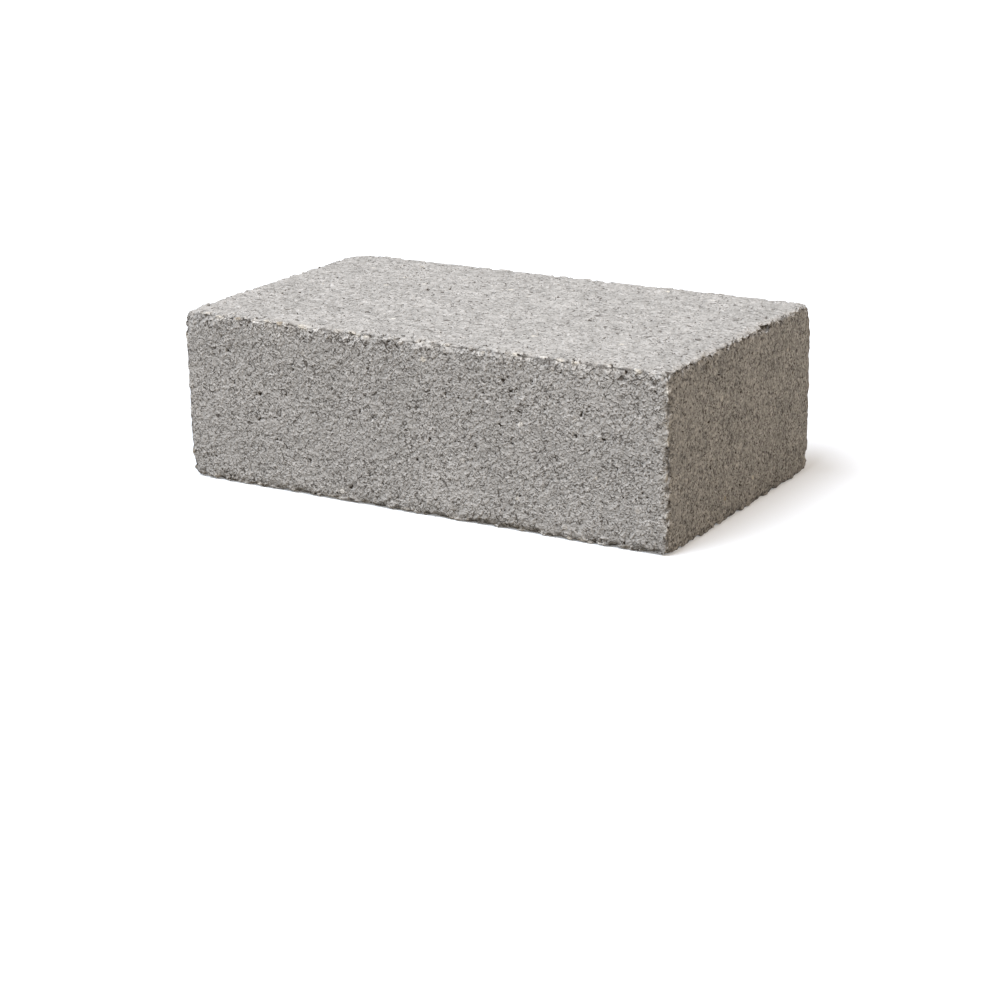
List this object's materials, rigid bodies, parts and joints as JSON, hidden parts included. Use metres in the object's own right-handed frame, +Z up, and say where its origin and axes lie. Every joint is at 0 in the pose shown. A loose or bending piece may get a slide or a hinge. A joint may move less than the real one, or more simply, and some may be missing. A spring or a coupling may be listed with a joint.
{
  "type": "solid concrete block",
  "caption": "Solid rectangular concrete building block with an open grainy texture, rounded arrises and worn corners, laid on its bed in mortared walls.",
  "frame": {"origin": "middle of the underside, on the floor", "axes": "+X along the length, +Y across the width towards the back face, +Z up through the height"},
  "size_m": [0.44, 0.25, 0.14],
  "materials": {
    "concrete": "matte"
  },
  "bodies": {
    "root": {"concrete_block": "concrete"}
  },
  "joints": []
}
